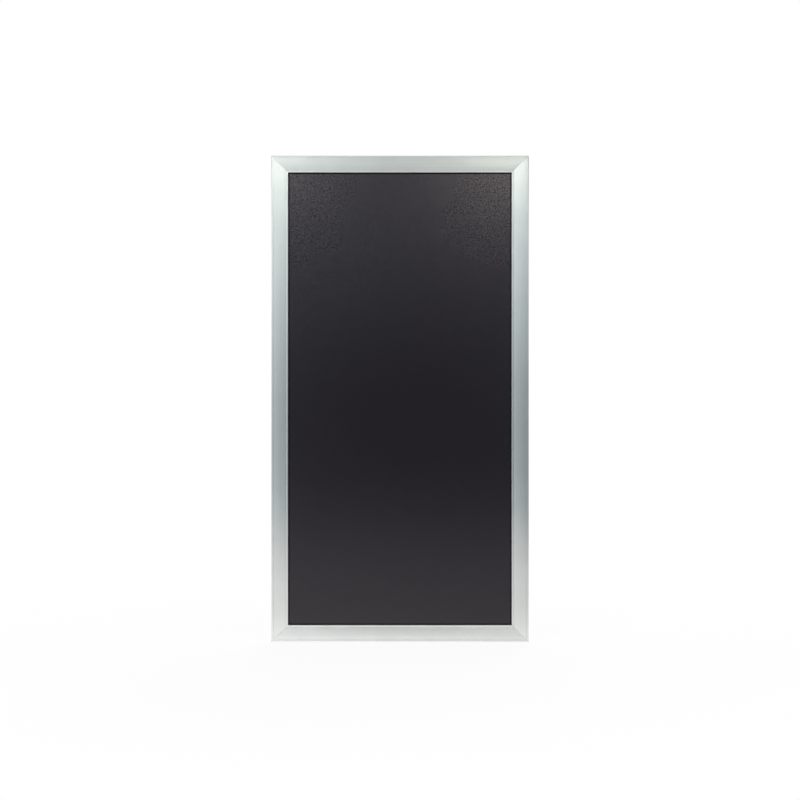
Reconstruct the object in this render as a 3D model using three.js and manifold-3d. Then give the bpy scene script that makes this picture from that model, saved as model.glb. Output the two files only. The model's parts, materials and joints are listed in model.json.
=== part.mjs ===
// A wall-hung chalkboard: a laminated writing panel held in a mitred frame of extruded aluminium.
// Millimetres. X is across the board, Z is up, the writing side faces -Y, and y = 0 is the wall.
// The frame's section is drawn in u, from the outer edge inwards, and v, from the rear lips forwards.

import * as THREE from "three";
import { mergeVertices } from "three/addons/utils/BufferGeometryUtils.js";
import Module from "manifold-3d";

// Whole board
const boardWidth = 450;
const boardHeight = 850;
const standOff = 5; // from the wall to the frame's rear lips, the height of the wall bumpers

// Clearances
const seat = 0.1; // between faces that are laid or glued together
const fit = 0.3; // round a piece that slides or turns in another
const mitreGap = 0.3; // across the hairline where two mitred ends meet
const panelPlay = 1.4; // round the panel's edge, for the board's swelling

// Frame section: walls and rear hardware channel
const wall = 1.6;
const rearLip = 1.4;
const channelWidth = 13;
const channelDepth = 3.6;
const channelFloor = 1.4;
const slotWidth = 6;

// Frame section: visible front
const faceWidth = 29.5;
const lipToCrown = 5; // from the underside of the inner lip to the highest line of the front
const crownRadius = 110;
const crownLine = 11; // where the convex front is highest, from the outer edge
const bandWidth = 4;
const bandDrop = 0.55;
const grooveWidth = 0.6;
const grooveDepth = 0.5;
const shoulderRadius = 2.2;
const beadRadius = 1.25;
const beadDrop = 2; // from the highest line down to the bead's centre
const lipLeg = 1.5;
const rootSlotWidth = 2.4;
const rootSlotDepth = 1.7;

// Writing panel and the black gasket that shows inside the lip
const gasketPad = 1;
const gasketShow = 2.2;
const gasketRoot = 1.2;
const sheetThickness = 0.6;
const coreThickness = 3;
const balanceThickness = 0.4;

// Bowed leaf springs that press the panel forwards against the gasket
const springSpace = 3.2; // between the channel's floor and the panel's back
const springThickness = 0.5;
const springWidth = 17;
const springLength = 56;
const springEndRadius = 3;
const springPitch = 240;
const springsAcross = 2;
const springsUpright = 3;

// Corner keys: an L plate with two set screws, and a plain L plate that the screws press on
const keyLeg = 40;
const keyThickness = 1.5;
const keyCornerRadius = 1;
const keyScrewFromEdge = 28;
const setScrewRadius = 2.2;
const setScrewLength = 3;
const driveSlotWidth = 0.8;
const driveSlotDepth = 0.9;

// Hangers: a strap rolled round the bar of a D-ring, screwed to a nut that slides in the channel
const hangerFromTop = 150;
const ringWire = 1; // radius of the ring's wire
const ringHalfWidth = 6.7;
const ringCornerRadius = 1.7;
const ringSide = 5.2; // from the ring's bar down to the centre of its bow
const ringJoint = 0.3; // the butt joint of the ring's wire, inside the strap's loop
const strapThickness = 0.9;
const strapEndRadius = 4;
const strapLoopEnd = 200; // degrees, where the rolled end of the strap stops
const hangerScrewFromAxis = 19;
const hangerScrewPitch = 15;
const strapBeyondScrew = 7;
const strapLength = hangerScrewFromAxis + hangerScrewPitch + strapBeyondScrew; // from the loop's axis down
const hangerScrewRadius = 2;
const screwHeadRadius = 3.6;
const screwHeadHeight = 2;
const screwEndGap = 0.5; // from a screw's tip to the channel's floor
const nutLength = 28;
const nutThickness = 2.2;

// Wall bumpers: soft plugs pressed into the channel's slot
const bumperRadius = 6.5;
const bumperFlatRadius = 5;
const bumperBarbRadius = 3.7;
const bumperBarbHeight = 1.4;
const bumperFromEnd = 70;

// Smoothness of the round shapes
const arcSteps = 6; // an arc gets twice as many chords
const cornerSteps = 2;
const turnedSides = 16;
const wireSides = 10;
const wireSteps = 44;

// Lines of the section that follow from the sizes above
const floorBack = rearLip + channelDepth;
const floorFront = floorBack + channelFloor;
const channelEnd = wall + channelWidth;
const channelMiddle = wall + channelWidth / 2;
const slotStart = channelMiddle - slotWidth / 2;
const slotEnd = channelMiddle + slotWidth / 2;
const ribEnd = channelEnd + wall;
const panelBack = floorFront + springSpace;
const coreBack = panelBack + balanceThickness + seat;
const sheetBack = coreBack + coreThickness + seat;
const padBack = sheetBack + sheetThickness + seat;
const lipUnder = padBack + gasketPad + seat;
const frameDepth = lipUnder + lipToCrown;
const crownCentre = frameDepth - crownRadius;
const bandLevel = frameDepth - bandDrop;
const innerLegStart = faceWidth - lipLeg;
const rootSlotStart = innerLegStart - rootSlotWidth;
const outerLegStart = rootSlotStart - lipLeg;

const wasm = await Module();
wasm.setup();

// Finishes
const anodised = new THREE.MeshStandardMaterial({ color: 0xb9c4c6, roughness: 0.35, metalness: 1 });
const chalkLacquer = new THREE.MeshStandardMaterial({ color: 0x25242b, roughness: 0.7, metalness: 0 });
const fibreboard = new THREE.MeshStandardMaterial({ color: 0x9a7a55, roughness: 0.9, metalness: 0 });
const balancePaper = new THREE.MeshStandardMaterial({ color: 0xb7b4aa, roughness: 0.8, metalness: 0 });
const blackRubber = new THREE.MeshStandardMaterial({ color: 0x17171a, roughness: 0.6, metalness: 0 });
const springSteel = new THREE.MeshStandardMaterial({ color: 0x8e9092, roughness: 0.35, metalness: 1 });
const zincSteel = new THREE.MeshStandardMaterial({ color: 0xc3c6c4, roughness: 0.4, metalness: 1 });

const chalkboard = new THREE.Group();

// A solid for joining and cutting, from a closed geometry
function solid(geometry) {
  const bare = new THREE.BufferGeometry();
  bare.setAttribute("position", geometry.getAttribute("position"));
  if (geometry.index) bare.setIndex(geometry.index);
  const merged = mergeVertices(bare, 1e-4);
  return new wasm.Manifold(
    new wasm.Mesh({
      numProp: 3,
      vertProperties: new Float32Array(merged.getAttribute("position").array),
      triVerts: new Uint32Array(merged.index.array),
    }),
  );
}

// The geometry of a solid
function geometryOf(body) {
  const mesh = body.getMesh();
  const geometry = new THREE.BufferGeometry();
  geometry.setAttribute("position", new THREE.BufferAttribute(mesh.vertProperties, 3));
  geometry.setIndex(new THREE.BufferAttribute(mesh.triVerts, 1));
  const faceted = geometry.toNonIndexed();
  faceted.computeVertexNormals();
  return faceted;
}

function add(name, geometry, material, parent) {
  const mesh = new THREE.Mesh(geometry, material);
  mesh.name = name;
  parent.add(mesh);
  return mesh;
}

const alongX = new THREE.Vector3(1, 0, 0);
const towardFront = new THREE.Vector3(0, -1, 0);
const alongZ = new THREE.Vector3(0, 0, 1);

// Turns a drawn shape's own axes onto the part's axes
function turned(geometry, first, second, third) {
  return geometry.applyMatrix4(new THREE.Matrix4().makeBasis(first, second, third));
}

// A plate drawn in X and Z, whose back lies at v = back
function plate(outline, back, thickness) {
  const geometry = new THREE.ExtrudeGeometry(outline, {
    depth: thickness,
    bevelEnabled: false,
    curveSegments: cornerSteps,
  });
  turned(geometry, alongX, alongZ, towardFront);
  return geometry.translate(0, -standOff - back, 0);
}

// A round piece on the Y axis, from pairs of radius and v that run from its back to its front
function lathed(profile) {
  const points = profile.map(([radius, v]) => new THREE.Vector2(radius, -standOff - v));
  return new THREE.LatheGeometry(points.reverse(), turnedSides);
}

// A round bar along Y between two v levels, for holes
function drill(radius, back, front) {
  return lathed([
    [0, back],
    [radius, back],
    [radius, front],
    [0, front],
  ]);
}

// A rectangle with rounded corners, centred on x = 0 and y = middle
function roundedRectangle(width, height, radius, middle = 0) {
  const right = width / 2;
  const low = middle - height / 2;
  const high = middle + height / 2;
  const shape = new THREE.Shape();
  shape.moveTo(-right + radius, low);
  shape.lineTo(right - radius, low);
  shape.absarc(right - radius, low + radius, radius, -Math.PI / 2, 0, false);
  shape.lineTo(right, high - radius);
  shape.absarc(right - radius, high - radius, radius, 0, Math.PI / 2, false);
  shape.lineTo(-right + radius, high);
  shape.absarc(-right + radius, high - radius, radius, Math.PI / 2, Math.PI, false);
  shape.lineTo(-right, low + radius);
  shape.absarc(-right + radius, low + radius, radius, Math.PI, Math.PI * 1.5, false);
  return shape;
}

// The angle on a circle of the crown's centre at which it crosses u
function crownAngle(radius, u) {
  return Math.acos((u - crownLine) / radius);
}

// The level of a circle of the crown's centre at u
function crownLevel(radius, u) {
  return crownCentre + radius * Math.sin(crownAngle(radius, u));
}

// The extruded section: rear channel, outer wall, convex front, bead and the slot for the gasket's root
function frameSection() {
  const inside = crownRadius - wall;
  const beadStart = faceWidth - 2 * beadRadius;
  const beadLevel = frameDepth - beadDrop;
  const grooveEnd = bandWidth + grooveWidth;
  const shape = new THREE.Shape();
  shape.moveTo(0, 0);
  shape.lineTo(slotStart, 0);
  shape.lineTo(slotStart, rearLip);
  shape.lineTo(wall, rearLip);
  shape.lineTo(wall, floorBack);
  shape.lineTo(channelEnd, floorBack);
  shape.lineTo(channelEnd, rearLip);
  shape.lineTo(slotEnd, rearLip);
  shape.lineTo(slotEnd, 0);
  shape.lineTo(ribEnd, 0);
  shape.lineTo(ribEnd, floorFront);
  shape.lineTo(wall, floorFront);
  shape.lineTo(wall, crownLevel(inside, wall));
  shape.absarc(crownLine, crownCentre, inside, crownAngle(inside, wall), crownAngle(inside, outerLegStart), true);
  shape.lineTo(outerLegStart, lipUnder);
  shape.lineTo(rootSlotStart, lipUnder);
  shape.lineTo(rootSlotStart, lipUnder + rootSlotDepth);
  shape.lineTo(innerLegStart, lipUnder + rootSlotDepth);
  shape.lineTo(innerLegStart, lipUnder);
  shape.lineTo(faceWidth, lipUnder);
  shape.lineTo(faceWidth, beadLevel);
  shape.absarc(faceWidth - beadRadius, beadLevel, beadRadius, 0, Math.PI, false);
  shape.lineTo(beadStart, crownLevel(crownRadius, beadStart));
  shape.absarc(
    crownLine,
    crownCentre,
    crownRadius,
    crownAngle(crownRadius, beadStart),
    crownAngle(crownRadius, grooveEnd),
    false,
  );
  shape.lineTo(grooveEnd, bandLevel - grooveDepth);
  shape.lineTo(bandWidth, bandLevel - grooveDepth);
  shape.lineTo(bandWidth, bandLevel);
  shape.lineTo(shoulderRadius, bandLevel);
  shape.absarc(shoulderRadius, bandLevel - shoulderRadius, shoulderRadius, Math.PI / 2, Math.PI, false);
  shape.lineTo(0, 0);
  return shape;
}

// The gasket: a flat pad under the lip that reaches past it, and a root pressed into the lip's slot
function gasketSection() {
  const top = padBack + gasketPad;
  const rootTop = lipUnder + gasketRoot;
  const shape = new THREE.Shape();
  shape.moveTo(outerLegStart, padBack);
  shape.lineTo(faceWidth + gasketShow, padBack);
  shape.lineTo(faceWidth + gasketShow, top);
  shape.lineTo(innerLegStart - fit, top);
  shape.lineTo(innerLegStart - fit, rootTop);
  shape.lineTo(rootSlotStart + fit, rootTop);
  shape.lineTo(rootSlotStart + fit, top);
  shape.lineTo(outerLegStart, top);
  shape.lineTo(outerLegStart, padBack);
  return shape;
}

// A section run along a side of the frame and cut at 45 degrees at both ends
function mitred(section, length) {
  const geometry = new THREE.ExtrudeGeometry(section, {
    depth: length,
    bevelEnabled: false,
    curveSegments: arcSteps,
  });
  const position = geometry.getAttribute("position");
  const setBack = (mitreGap / 2) * Math.SQRT2;
  for (let i = 0; i < position.count; i += 1) {
    const u = position.getX(i);
    const atStart = position.getZ(i) < length / 2;
    position.setZ(i, atStart ? u + setBack : length - u - setBack);
  }
  turned(geometry, alongZ, towardFront, alongX);
  return geometry.translate(-length / 2, -standOff, 0);
}

// The four sides: each group has X along the side and Z from its outer edge towards the middle
const sides = [
  { rail: "rail_bottom", side: "bottom", length: boardWidth, springs: springsAcross, turn: 0 },
  { rail: "stile_left", side: "left", length: boardHeight, springs: springsUpright, turn: 1 },
  { rail: "rail_top", side: "top", length: boardWidth, springs: springsAcross, turn: 2 },
  { rail: "stile_right", side: "right", length: boardHeight, springs: springsUpright, turn: 3 },
];

// A leaf spring: an arc of strip that stands on the channel's floor and touches the panel's back
function leafSpring() {
  const rise = springSpace - springThickness - 2 * seat;
  const half = springLength / 2;
  const radius = (half * half + rise * rise) / (2 * rise);
  const spread = Math.asin(half / radius);
  const centre = floorFront + seat + rise - radius;
  const start = Math.PI / 2 - spread;
  const end = Math.PI / 2 + spread;
  const strip = new THREE.Shape();
  strip.absarc(0, centre, radius + springThickness, start, end, false);
  strip.absarc(0, centre, radius, end, start, true);
  const bowed = new THREE.ExtrudeGeometry(strip, {
    depth: springWidth,
    bevelEnabled: false,
    curveSegments: arcSteps,
  });
  turned(bowed, alongX, towardFront, alongZ.clone().negate());
  bowed.translate(0, -standOff, wall + panelPlay + springWidth);
  const tips = roundedRectangle(
    springLength,
    springWidth,
    springEndRadius,
    wall + panelPlay + springWidth / 2,
  );
  return geometryOf(solid(bowed).intersect(solid(plate(tips, floorFront, springSpace))));
}

const railShape = frameSection();
const gasketShape = gasketSection();
const springGeometry = leafSpring();

for (const { rail, side, length, springs, turn } of sides) {
  const group = new THREE.Group();
  const across = turn % 2 === 0 ? boardHeight : boardWidth;
  group.rotation.y = (turn * Math.PI) / 2;
  group.position.set(0, 0, -across / 2).applyEuler(group.rotation);
  chalkboard.add(group);
  add(rail, mitred(railShape, length), anodised, group);
  add("gasket_" + side, mitred(gasketShape, length), blackRubber, group);
  for (let i = 0; i < springs; i += 1) {
    const spring = add("retaining_spring_" + side + "_" + (i + 1), springGeometry, springSteel, group);
    spring.position.x = (i - (springs - 1) / 2) * springPitch;
  }
}

// Writing panel: lacquered sheet, fibreboard core and a balance sheet that keeps the core flat
const panelWidth = boardWidth - 2 * (wall + panelPlay);
const panelHeight = boardHeight - 2 * (wall + panelPlay);

function panelLayer(name, back, thickness, material) {
  const geometry = new THREE.BoxGeometry(panelWidth, thickness, panelHeight);
  geometry.translate(0, -standOff - back - thickness / 2, 0);
  add(name, geometry, material, chalkboard);
}

panelLayer("writing_sheet", sheetBack, sheetThickness, chalkLacquer);
panelLayer("core_board", coreBack, coreThickness, fibreboard);
panelLayer("balance_sheet", panelBack, balanceThickness, balancePaper);

// Corner keys: each group has its X and Z along the two sides that meet in the corner
const keyStart = wall + fit;
const keyWidth = channelWidth - 2 * fit;
const keyBack = rearLip + seat;
const pressBack = floorBack - seat - keyThickness;

function cornerOutline() {
  const inner = keyStart + keyWidth;
  const shape = new THREE.Shape();
  shape.moveTo(keyStart, keyStart);
  shape.lineTo(keyLeg - keyCornerRadius, keyStart);
  shape.absarc(keyLeg - keyCornerRadius, keyStart + keyCornerRadius, keyCornerRadius, -Math.PI / 2, 0, false);
  shape.lineTo(keyLeg, inner - keyCornerRadius);
  shape.absarc(keyLeg - keyCornerRadius, inner - keyCornerRadius, keyCornerRadius, 0, Math.PI / 2, false);
  shape.lineTo(inner, inner);
  shape.lineTo(inner, keyLeg - keyCornerRadius);
  shape.absarc(inner - keyCornerRadius, keyLeg - keyCornerRadius, keyCornerRadius, 0, Math.PI / 2, false);
  shape.lineTo(keyStart + keyCornerRadius, keyLeg);
  shape.absarc(
    keyStart + keyCornerRadius,
    keyLeg - keyCornerRadius,
    keyCornerRadius,
    Math.PI / 2,
    Math.PI,
    false,
  );
  shape.lineTo(keyStart, keyStart);
  return shape;
}

function cornerKey() {
  let key = solid(plate(cornerOutline(), keyBack, keyThickness));
  for (const [x, z] of keyScrewPlaces) {
    const hole = drill(setScrewRadius + fit, 0, floorBack).translate(x, 0, z);
    key = key.subtract(solid(hole));
  }
  return geometryOf(key);
}

// A screwdriver slot across X, cut into the back of a screw
function driveSlot(reach, back, depth) {
  const slot = new THREE.BoxGeometry(2 * reach, depth + standOff, driveSlotWidth);
  return slot.translate(0, -standOff - back - depth + (depth + standOff) / 2, 0);
}

function setScrew() {
  const front = pressBack - seat;
  const back = front - setScrewLength;
  const body = solid(drill(setScrewRadius, back, front));
  return geometryOf(body.subtract(solid(driveSlot(setScrewRadius + fit, back, driveSlotDepth))));
}

const keyScrewPlaces = [
  [keyScrewFromEdge, channelMiddle],
  [channelMiddle, keyScrewFromEdge],
];
const cornerKeyGeometry = cornerKey();
const pressPlateGeometry = plate(cornerOutline(), pressBack, keyThickness);
const setScrewGeometry = setScrew();

const corners = [
  { corner: "bottom_left", x: -boardWidth / 2, z: -boardHeight / 2, turn: 0 },
  { corner: "top_left", x: -boardWidth / 2, z: boardHeight / 2, turn: 1 },
  { corner: "top_right", x: boardWidth / 2, z: boardHeight / 2, turn: 2 },
  { corner: "bottom_right", x: boardWidth / 2, z: -boardHeight / 2, turn: 3 },
];

for (const { corner, x, z, turn } of corners) {
  const group = new THREE.Group();
  group.rotation.y = (turn * Math.PI) / 2;
  group.position.set(x, 0, z);
  chalkboard.add(group);
  add("corner_key_" + corner, cornerKeyGeometry, zincSteel, group);
  add("corner_press_plate_" + corner, pressPlateGeometry, zincSteel, group);
  keyScrewPlaces.forEach(([along, up], i) => {
    const screw = add("corner_screw_" + corner + "_" + (i + 1), setScrewGeometry, zincSteel, group);
    screw.position.set(along, 0, up);
  });
}

// Hangers: each group has its origin on the ring's hinge line, in the wall plane
const loopInner = ringWire + fit;
const loopOuter = loopInner + strapThickness;
const strapWidth = 2 * (ringHalfWidth - ringWire - fit);
const hingeLevel = -seat - loopOuter;

// The strap: a plate on the rear lips whose upper end is rolled round the ring's bar
function hangerStrap() {
  const side = new THREE.Shape();
  const loopEnd = THREE.MathUtils.degToRad(strapLoopEnd);
  side.moveTo(-strapLength, seat);
  side.absarc(0, -hingeLevel, loopOuter, -Math.PI / 2, loopEnd, false);
  side.absarc(0, -hingeLevel, loopInner, loopEnd, -Math.PI / 2, true);
  side.lineTo(-strapLength, seat + strapThickness);
  side.lineTo(-strapLength, seat);
  const rolled = new THREE.ExtrudeGeometry(side, {
    depth: strapWidth,
    bevelEnabled: false,
    curveSegments: arcSteps * 2,
  });
  turned(rolled, alongZ, towardFront.clone().negate(), alongX.clone().negate());
  rolled.translate(strapWidth / 2, -standOff, 0);
  const height = strapLength + 2 * loopOuter + strapEndRadius;
  const outline = roundedRectangle(strapWidth, height, strapEndRadius, height / 2 - strapLength);
  let strap = solid(rolled).intersect(solid(plate(outline, -standOff, standOff)));
  for (const z of hangerScrewHeights) {
    const hole = drill(hangerScrewRadius + fit, -standOff, 0).translate(0, 0, z);
    strap = strap.subtract(solid(hole));
  }
  return geometryOf(strap);
}

// The D-ring's wire, from its butt joint round the bow and back
class RingLine extends THREE.Curve {
  constructor() {
    super();
    const right = ringHalfWidth;
    const corner = ringCornerRadius;
    this.path = new THREE.Path();
    this.path.moveTo(ringJoint / 2, 0);
    this.path.lineTo(right - corner, 0);
    this.path.absarc(right - corner, -corner, corner, Math.PI / 2, 0, true);
    this.path.lineTo(right, -ringSide);
    this.path.absarc(0, -ringSide, right, 0, -Math.PI, true);
    this.path.lineTo(-right, -corner);
    this.path.absarc(-right + corner, -corner, corner, Math.PI, Math.PI / 2, true);
    this.path.lineTo(-ringJoint / 2, 0);
  }
  getPoint(t, target = new THREE.Vector3()) {
    const point = this.path.getPointAt(t);
    return target.set(point.x, -standOff - hingeLevel, point.y);
  }
}

function hangerRing() {
  const section = new THREE.Shape();
  for (let i = 0; i < wireSides; i += 1) {
    const angle = (2 * Math.PI * i) / wireSides;
    const x = ringWire * Math.cos(angle);
    const y = ringWire * Math.sin(angle);
    if (i === 0) section.moveTo(x, y);
    else section.lineTo(x, y);
  }
  return new THREE.ExtrudeGeometry(section, {
    steps: wireSteps,
    extrudePath: new RingLine(),
    bevelEnabled: false,
  });
}

// A pan-head screw through the strap and the rear slot into the sliding nut
function hangerScrew() {
  const headFront = -2 * seat - strapThickness;
  const headBack = headFront - screwHeadHeight;
  const dome = new THREE.Path();
  dome.absellipse(0, headFront, screwHeadRadius, screwHeadHeight, -Math.PI / 2, 0, false);
  const profile = dome.getPoints(cornerSteps).map((point) => [Math.max(point.x, 0), point.y]);
  profile[0] = [0, headBack];
  profile.push([hangerScrewRadius, headFront]);
  profile.push([hangerScrewRadius, floorBack - screwEndGap]);
  profile.push([0, floorBack - screwEndGap]);
  const slot = driveSlot(screwHeadRadius + fit, headBack, driveSlotDepth);
  return geometryOf(solid(lathed(profile)).subtract(solid(slot)));
}

// The nut: a bar that slides in the channel, with a hole for each screw
function hangerNut() {
  const middle = (hangerScrewHeights[0] + hangerScrewHeights[1]) / 2;
  const outline = roundedRectangle(keyWidth, nutLength, keyCornerRadius, middle);
  let nut = solid(plate(outline, keyBack, nutThickness));
  for (const z of hangerScrewHeights) {
    const hole = drill(hangerScrewRadius + fit, 0, floorBack).translate(0, 0, z);
    nut = nut.subtract(solid(hole));
  }
  return geometryOf(nut);
}

const hangerScrewHeights = [-hangerScrewFromAxis, -hangerScrewFromAxis - hangerScrewPitch];
const strapGeometry = hangerStrap();
const ringGeometry = hangerRing();
const hangerScrewGeometry = hangerScrew();
const nutGeometry = hangerNut();

// A wall bumper: a soft cap, a stem through the rear slot and a barb behind the lips
function wallBumper() {
  const stemRadius = slotWidth / 2 - fit;
  return lathed([
    [0, -standOff],
    [bumperFlatRadius, -standOff],
    [bumperRadius, -standOff + (bumperRadius - bumperFlatRadius)],
    [bumperRadius, -seat],
    [stemRadius, -seat],
    [stemRadius, rearLip + seat],
    [bumperBarbRadius, rearLip + seat],
    [stemRadius, rearLip + seat + bumperBarbHeight],
    [0, rearLip + seat + bumperBarbHeight],
  ]);
}

const bumperGeometry = wallBumper();

for (const [side, sign] of [
  ["left", -1],
  ["right", 1],
]) {
  const channelX = sign * (boardWidth / 2 - channelMiddle);
  const hanger = new THREE.Group();
  hanger.position.set(channelX, 0, boardHeight / 2 - hangerFromTop);
  chalkboard.add(hanger);
  add("hanger_strap_" + side, strapGeometry, zincSteel, hanger);
  add("hanger_ring_" + side, ringGeometry, zincSteel, hanger);
  add("hanger_nut_" + side, nutGeometry, zincSteel, hanger);
  hangerScrewHeights.forEach((height, i) => {
    const screw = add("hanger_screw_" + side + "_" + (i + 1), hangerScrewGeometry, zincSteel, hanger);
    screw.position.z = height;
  });
  for (const [end, up] of [
    ["top", 1],
    ["bottom", -1],
  ]) {
    const bumper = add("wall_bumper_" + end + "_" + side, bumperGeometry, blackRubber, chalkboard);
    bumper.position.set(channelX, 0, up * (boardHeight / 2 - bumperFromEnd));
  }
}

export default chalkboard;
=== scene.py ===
import json
import math

import bmesh
import bpy
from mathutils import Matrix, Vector


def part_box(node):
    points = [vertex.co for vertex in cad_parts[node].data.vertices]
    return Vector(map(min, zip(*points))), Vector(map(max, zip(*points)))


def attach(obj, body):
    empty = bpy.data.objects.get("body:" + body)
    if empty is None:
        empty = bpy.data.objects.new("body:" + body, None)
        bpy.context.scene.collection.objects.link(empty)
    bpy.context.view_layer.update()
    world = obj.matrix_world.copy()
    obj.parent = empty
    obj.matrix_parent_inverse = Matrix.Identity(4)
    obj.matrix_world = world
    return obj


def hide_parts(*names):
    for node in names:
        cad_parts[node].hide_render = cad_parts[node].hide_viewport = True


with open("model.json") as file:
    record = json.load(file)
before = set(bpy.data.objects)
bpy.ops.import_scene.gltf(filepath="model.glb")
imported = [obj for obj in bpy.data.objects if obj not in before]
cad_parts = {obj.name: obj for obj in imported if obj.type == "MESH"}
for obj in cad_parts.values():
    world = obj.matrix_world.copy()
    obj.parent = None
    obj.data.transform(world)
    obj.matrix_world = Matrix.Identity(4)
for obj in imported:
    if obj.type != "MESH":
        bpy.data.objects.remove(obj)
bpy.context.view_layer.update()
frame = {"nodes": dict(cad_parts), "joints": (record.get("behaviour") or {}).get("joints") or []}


# Camera
# The photograph looks square on at the board, so the camera stands on the board's own axis and looks
# along +Y. Its distance follows from the lens and from how much of the picture the board fills.
PICTURE_PIXELS = 800
BOARD_PIXELS = 257.7  # the board's width in the photograph
BOARD_LEFT_OF_CENTRE_PIXELS = 0.1
BOARD_ABOVE_CENTRE_PIXELS = 1.2
LENS_MM = 85
SENSOR_MM = 36

board_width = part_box("stile_right")[1].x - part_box("stile_left")[0].x
board_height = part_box("rail_top")[1].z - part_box("rail_bottom")[0].z
board_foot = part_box("rail_bottom")[0].z
front_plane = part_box("rail_bottom")[0].y
metres_per_pixel = board_width / BOARD_PIXELS
camera_distance = PICTURE_PIXELS * metres_per_pixel * LENS_MM / SENSOR_MM

bpy.ops.object.camera_add(
    location=(
        BOARD_LEFT_OF_CENTRE_PIXELS * metres_per_pixel,
        front_plane - camera_distance,
        -BOARD_ABOVE_CENTRE_PIXELS * metres_per_pixel,
    ),
    rotation=(math.radians(90), 0, 0),
)
camera = bpy.context.object
camera.data.lens = LENS_MM
camera.data.sensor_width = SENSOR_MM
bpy.context.scene.camera = camera
bpy.context.scene.view_settings.view_transform = "Standard"


# Studio surround and floor
# The board stands on a matt white floor in a white surround. The floor keeps the board's soft shadow near
# its foot and turns to plain white further out. The studio's places and sizes are in metres.
MM = 0.001
SURROUND_LIGHT = 0.45  # what the surround sheds on the board; where it is seen it is plain white
FLOOR_SIDE = 14.0
FLOOR_GAP = 0.5 * MM  # below the board's foot, so that the two don't touch
FLOOR_WHITE = "#F4F4F2"
SHADOW_RADIUS = 0.55  # within it the floor keeps a share of its own paint, and with it the shadow
WHITE_RADIUS = 1.5
WHITE_OVER_SHADOW = 0.92


def linear(hex_colour):
    """The linear values of a colour that is written as sRGB."""
    channels = []
    for start in (1, 3, 5):
        value = int(hex_colour[start:start + 2], 16) / 255
        if value <= 0.04045:
            channels.append(value / 12.92)
        else:
            channels.append(((value + 0.055) / 1.055) ** 2.4)
    return (*channels, 1.0)


def node(tree, kind, settings=None, **inputs):
    """Adds a node with its settings. An input is named, with underscores for spaces, or numbered, as in i0,
    and is given a value, or a socket that is linked to it."""
    made = tree.nodes.new(kind)
    for name, value in (settings or {}).items():
        setattr(made, name, value)
    for name, value in inputs.items():
        key = int(name[1:]) if name[0] == "i" and name[1:].isdigit() else name.replace("_", " ")
        if isinstance(value, bpy.types.NodeSocket):
            tree.links.new(value, made.inputs[key])
        else:
            made.inputs[key].default_value = value
    return made


def bare_finish(name):
    """A material, its node tree, which holds only Object coordinates so far, and their socket."""
    finish = bpy.data.materials.new(name)
    finish.use_nodes = True
    tree = finish.node_tree
    tree.nodes.clear()
    return finish, tree, node(tree, "ShaderNodeTexCoord").outputs["Object"]


world = bpy.data.worlds.new("white_surround")
bpy.context.scene.world = world
world.use_nodes = True
tree = world.node_tree
tree.nodes.clear()
rays = node(tree, "ShaderNodeLightPath")
seen = node(
    tree,
    "ShaderNodeMath",
    {"operation": "MAXIMUM"},
    i0=rays.outputs["Is Camera Ray"],
    i1=rays.outputs["Is Glossy Ray"],
)
seen = node(
    tree,
    "ShaderNodeMath",
    {"operation": "MAXIMUM"},
    i0=seen.outputs[0],
    i1=rays.outputs["Is Transmission Ray"],
)
strength = node(tree, "ShaderNodeMapRange", Value=seen.outputs[0], To_Min=SURROUND_LIGHT, To_Max=1.0)
surround = node(tree, "ShaderNodeBackground", Color=linear("#FFFFFF"), Strength=strength.outputs[0])
node(tree, "ShaderNodeOutputWorld", Surface=surround.outputs[0])

bpy.ops.object.select_all(action="DESELECT")
bpy.ops.mesh.primitive_plane_add(size=FLOOR_SIDE, location=(0, 0, board_foot - FLOOR_GAP))
floor = bpy.context.object
floor.name = "studio_floor"
bpy.ops.object.transform_apply()
floor_paint, tree, place = bare_finish("matt_white_studio_floor")
rays = node(tree, "ShaderNodeLightPath")
painted = node(tree, "ShaderNodeBsdfDiffuse", Color=linear(FLOOR_WHITE))
distance = node(tree, "ShaderNodeVectorMath", {"operation": "LENGTH"}, i0=place)
fade = node(
    tree,
    "ShaderNodeMapRange",
    Value=distance.outputs["Value"],
    From_Min=SHADOW_RADIUS,
    From_Max=WHITE_RADIUS,
    To_Min=WHITE_OVER_SHADOW,
    To_Max=1.0,
)
shown = node(
    tree,
    "ShaderNodeMath",
    {"operation": "MULTIPLY"},
    i0=rays.outputs["Is Camera Ray"],
    i1=fade.outputs[0],
)
mirrored = node(
    tree,
    "ShaderNodeMath",
    {"operation": "MAXIMUM"},
    i0=rays.outputs["Is Glossy Ray"],
    i1=rays.outputs["Is Transmission Ray"],
)
share = node(tree, "ShaderNodeMath", {"operation": "MAXIMUM"}, i0=shown.outputs[0], i1=mirrored.outputs[0])

# As glossy surfaces show it, the floor's glow carries painted light: brighter on the left, where the
# studio's window side is, and close in front of the board's foot.
WINDOW_SIDE_REACH = 0.8
WINDOW_SIDE_LIGHT = 0.18
FAR_SIDE_LIGHT = -0.24
FOOT_START = -0.5
FOOT_END = -0.02
FOOT_LIGHT = 0.27

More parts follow.
